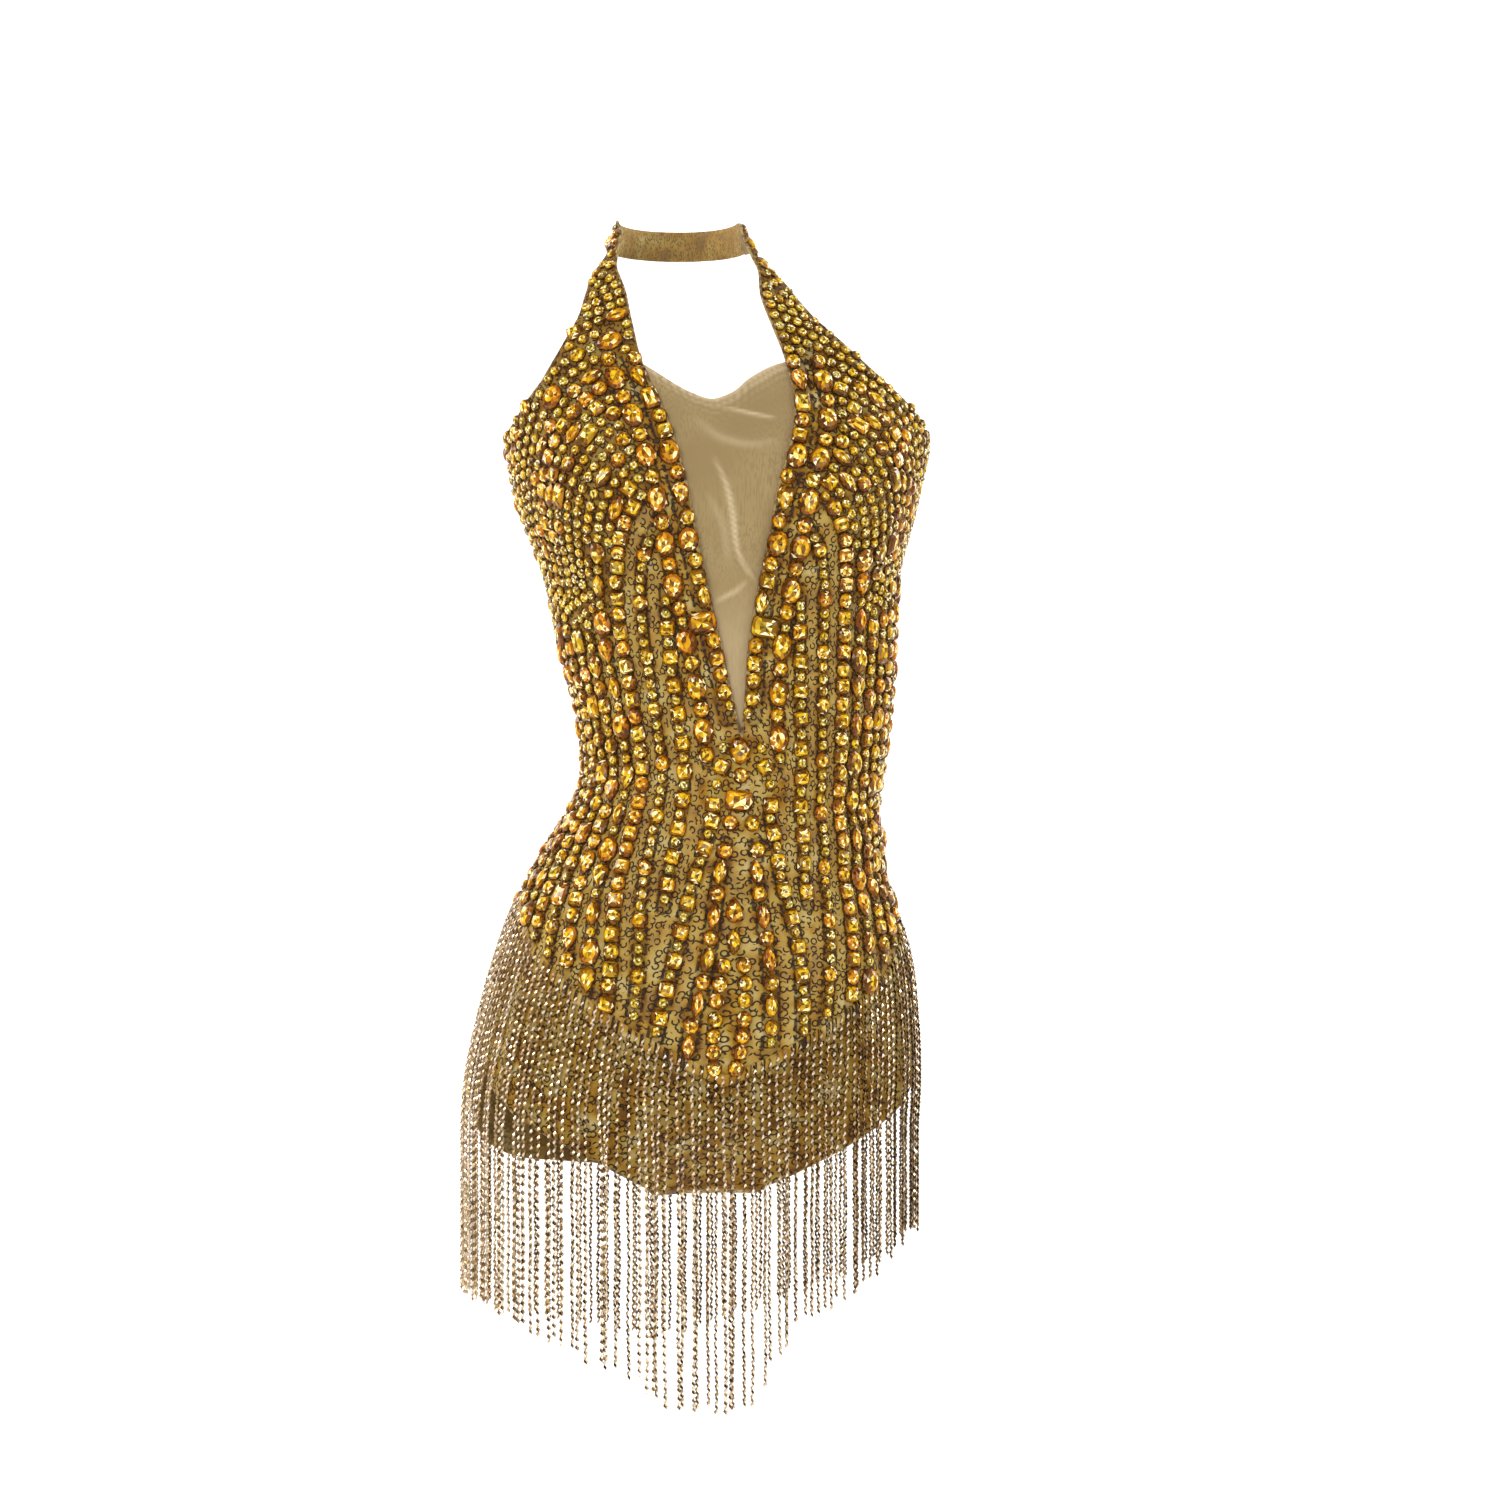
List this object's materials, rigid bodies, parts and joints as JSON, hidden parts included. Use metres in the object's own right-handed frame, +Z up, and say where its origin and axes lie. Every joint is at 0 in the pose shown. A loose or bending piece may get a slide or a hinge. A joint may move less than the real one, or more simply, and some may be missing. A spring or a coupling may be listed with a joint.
{
  "type": "dance leotard",
  "caption": "Halter-neck dance leotard in stretch mesh with rows of faceted stones, a tulle insert in a deep V and a V-shaped hip fringe of fine chains, in worn form.",
  "frame": {"origin": "nape: the middle of the neck band's inner face, where the wearer's neck holds the garment", "axes": "+Z up along the body, -Y the way the front faces, +X towards the wearer's left"},
  "size_m": [0.341, 0.2469, 0.8561],
  "materials": {
    "stoned_mesh": "golden stretch mesh with a brown print and rows of amber stones",
    "plain_mesh": "golden-beige stretch mesh",
    "tulle": "matte beige net",
    "stone": "faceted amber and topaz stones",
    "chain": "bright pale gold"
  },
  "bodies": {
    "root": {"front_panel": "stoned_mesh", "back_panel": "stoned_mesh", "neck_band": "stoned_mesh", "crotch_gusset": "plain_mesh", "mesh_insert": "tulle", "fringe_front": "chain", "fringe_back": "chain"}
  },
  "joints": []
}
